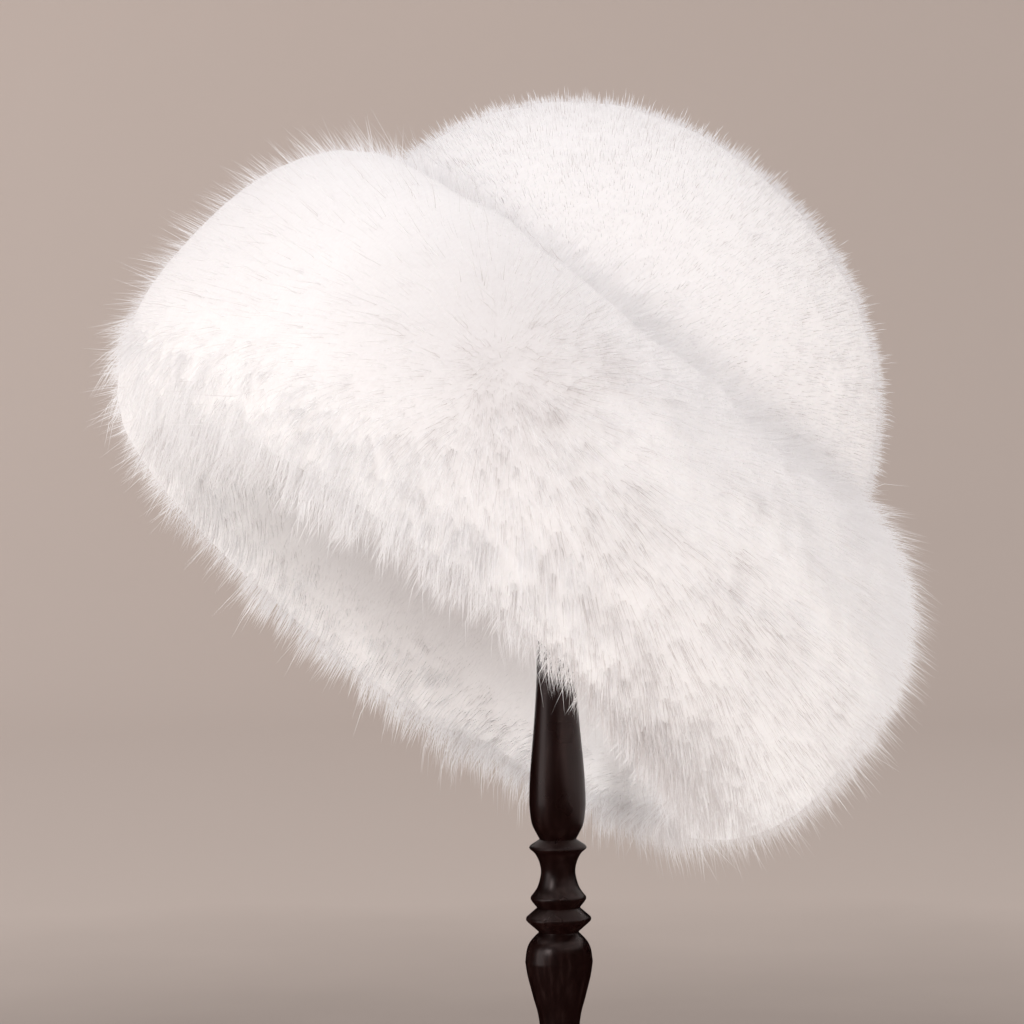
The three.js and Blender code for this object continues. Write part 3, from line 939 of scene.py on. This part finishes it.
trimmed = TRIMMED * np.interp(local[:, 2], (-0.075, -0.030), (0.6, 1.3))
rise -= trimmed * np.clip(-local[:, 0] / 0.07, 0, 1) * np.clip((local[:, 2] + 0.12) / 0.03, 0, 1) * ~inner
corner = inner * np.clip((-local[:, 0] - 0.05) / 0.04, 0, 1) * np.clip((-local[:, 2] - 0.05) / 0.03, 0, 1)
rise += CORNER_FILL * corner * rng.uniform(0.5, 1, BRIM_HAIRS)
lengths += CORNER_FILL * corner
stand = standing(places, normals)
places, crest = lie_on_crown(places)
stand = unit(stand + crest[:, None] * np.array(hat_axis))
near_side = local[:, 1] < 0
at_ends *= np.where(local[:, 0] < 0, 1.0, 0.9)
hang = np.where(near_side, np.interp(local[:, 0], *HEM_HANG), 0.85 * (1 - at_ends))
fall = HEM_FALL * hem * hang * rng.uniform(0.3, 1.1, BRIM_HAIRS)
hanging = (hem * np.where(near_side & ~inner, 0.75, 0.1))[:, None]
stand = unit((1 - hanging) * stand + hanging * DOWN)
places = places + fall[:, None] * unit(stand + 0.5 * DOWN)
paths, shades = comb(places, stand, normals, lengths, 0.12, 0.05, pull, rise, 0.62, 1 / 18,
                     0.0002 + 0.0012 * hem)
# Painted shade: hairs round the whorl's middle are made greyer, where one looks down between them into shade.
from_whorl = ((places - WHORL_MIDDLE)[:, ::2] ** 2).sum(axis=1)
for reach, grey in WHORL_SHADES:
    shades -= grey * np.exp(-from_whorl / reach**2) * rng.uniform(0.3, 1.7, BRIM_HAIRS)
# Painted shade: hairs deep inside the hollow are made greyer.
deep = inner * np.clip((local[:, 2] + 0.095) / 0.03, 0, 1) * np.clip((0.06 - local[:, 0]) / 0.03, 0, 1)
shades -= DEEP_SHADE * deep * np.interp(local[:, 0], (-0.10, -0.06), (0.4, 1))
# Painted shade: hairs low down on the lowered side are made greyer.
shades -= LOW_SHADE * ~inner * np.clip(local[:, 0] / 0.08, 0, 1) * np.clip(-local[:, 2] / 0.08, 0, 1)
# Painted light: hairs at the near hem, high on the lowered side and at the crest are made lighter, against the shade
# there.
shades += 0.3 * hem * near_side * ~inner * np.clip(-local[:, 0] / 0.03, 0, 1)
shades += 0.3 * ~inner * np.clip((local[:, 2] + 0.06) / 0.03, 0, 1) * np.clip(local[:, 0] / 0.03, 0, 1)
shades = np.clip(shades + 0.5 * crest, 0, 1)
widths = rng.uniform(0.00024, 0.00036, BRIM_HAIRS) * (1 - 0.35 * longer) * np.where(inner, 0.75, 1)
quarter = np.floor((np.degrees(np.arctan2(local[:, 1], local[:, 0])) + 45) / 90).astype(int) % 4
for number, side in enumerate(QUARTERS):
    here = quarter == number
    fur = make_fur(f"brim_fur_{side}", paths[here], widths[here], shades[here])
    dress(fur, long_fur, "long_fur")

# %% [markdown]
# Among the soft hairs a pelt has a few that are longer and stiffer, called guard hairs. They stand out past
# the rest and show as single fine lines against the backdrop. They are made in the same way, only fewer,
# longer and straighter.

# %% Guard hairs
GUARD_HAIRS = 8000
places, normals = scatter(brim_form, GUARD_HAIRS)
lengths = rng.uniform(0.030, 0.040, GUARD_HAIRS)
rise = np.clip(np.abs(rng.normal(0, 0.0045, GUARD_HAIRS)), 0, 0.014)
stand = standing(places, normals)
paths, shades = comb(places, stand, normals, lengths, 0.08, 0.09, np.full(GUARD_HAIRS, 0.1), rise, 0.5, 1 / 6,
                     0.0)
guard = make_fur("brim_guard_hair", paths, rng.uniform(0.00020, 0.00028, GUARD_HAIRS), shades)
dress(guard, long_fur, "long_fur")

# %% [markdown]
# The crown's fur is short and dense, like plush. It is combed a little down from the crown's top, and its tips
# stand within two millimetres of each other, so the crown looks nearly smooth beside the brim.

# %% Crown fur
CROWN_HAIRS = 25000
places, normals = scatter(crown_form, int(CROWN_HAIRS * 1.25))
showing = distance_to("brim", places) > 0.0008
places, normals = places[showing][:CROWN_HAIRS], normals[showing][:CROWN_HAIRS]
places = spread_out(places, normals, 0.0013)
count = len(places)
stand = unit(normals - 0.12 * np.array(hat_axis))
lengths = rng.uniform(0.0060, 0.0080, count)
rise = np.clip(rng.normal(0, 0.0007, count), -0.0014, 0.0016)
rise += np.clip(rng.exponential(0.0012, count), 0, 0.004) * (rng.random(count) < 0.3)
by_brim = np.clip(1 - distance_to("brim", places) / 0.016, 0, 1) ** 2
rise += 0.001 * by_brim + 0.0010 * np.clip((places[:, 0] - 0.05) / 0.04, 0, 1)
paths, shades = comb(places, stand, normals, lengths, 0.08, 0.07, np.zeros(count), rise, 0.65, 1 / 12, 0.0)
crown_fur = make_fur("crown_fur", paths, rng.uniform(0.00018, 0.00028, count), shades)
dress(crown_fur, short_fur, "short_fur")

# %% [markdown]
# The two pelts stand for the solids of the crown and the brim. That is said only now, because the steps above
# still needed those solids to fit the pelts to and to scatter the hairs on.

# %% Hand over the pelts
dress(crown_pelt, crown_under, "short_fur", "crown")
dress(brim_pelt, brim_under, "long_fur", "brim")
